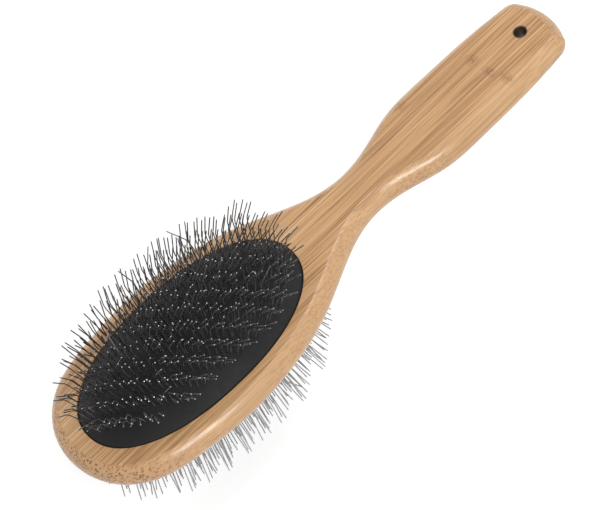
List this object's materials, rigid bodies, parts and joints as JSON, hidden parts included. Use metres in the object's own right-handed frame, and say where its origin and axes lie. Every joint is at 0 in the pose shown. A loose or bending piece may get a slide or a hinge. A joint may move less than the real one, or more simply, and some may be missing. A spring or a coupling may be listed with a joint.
{
  "type": "double-sided wire-pin grooming brush",
  "caption": "Flat bamboo brush with an oval domed rubber cushion in each face of its head, set with slanted rows of fine bent steel pins, and a hanging hole in its handle.",
  "frame": {"origin": "centre of the brush's box: on the board's middle plane, halfway along its length and on its centre line", "axes": "+Y from the head towards the handle's end, +Z out of the front face, +X across the board"},
  "size_m": [0.0664, 0.23, 0.0642],
  "materials": {
    "bamboo": "satin lacquered bamboo",
    "cushion_rubber": "matte black rubber",
    "foundation_cloth": "woven cloth",
    "foam": "open-cell foam",
    "pin_wire": "bare drawn steel wire"
  },
  "bodies": {
    "board": {"bamboo_board": "bamboo"},
    "front_pin_pad": {"front_cushion": "cushion_rubber", "front_foam": "foam", "front_foundation": "foundation_cloth", "front_pin_row_01": "pin_wire", "front_pin_row_02": "pin_wire", "front_pin_row_03": "pin_wire", "front_pin_row_04": "pin_wire", "front_pin_row_05": "pin_wire", "front_pin_row_06": "pin_wire", "front_pin_row_07": "pin_wire", "front_pin_row_08": "pin_wire", "front_pin_row_09": "pin_wire", "front_pin_row_10": "pin_wire", "front_pin_row_11": "pin_wire", "front_pin_row_12": "pin_wire", "front_pin_row_13": "pin_wire", "front_pin_row_14": "pin_wire"},
    "back_pin_pad": {"back_cushion": "cushion_rubber", "back_foam": "foam", "back_foundation": "foundation_cloth", "back_pin_row_01": "pin_wire", "back_pin_row_02": "pin_wire", "back_pin_row_03": "pin_wire", "back_pin_row_04": "pin_wire", "back_pin_row_05": "pin_wire", "back_pin_row_06": "pin_wire", "back_pin_row_07": "pin_wire", "back_pin_row_08": "pin_wire", "back_pin_row_09": "pin_wire", "back_pin_row_10": "pin_wire", "back_pin_row_11": "pin_wire", "back_pin_row_12": "pin_wire", "back_pin_row_13": "pin_wire", "back_pin_row_14": "pin_wire"}
  },
  "joints": [
    {"name": "front_cushion_press", "type": "slide", "parent": "board", "child": "front_pin_pad", "axis": [0, 0, -1], "range_m": [0, 0.002], "stiffness_N_per_m": 6000, "deforming": ["front_cushion", "front_foam"]},
    {"name": "back_cushion_press", "type": "slide", "parent": "board", "child": "back_pin_pad", "axis": [0, 0, 1], "range_m": [0, 0.002], "stiffness_N_per_m": 6000, "deforming": ["back_cushion", "back_foam"]}
  ]
}
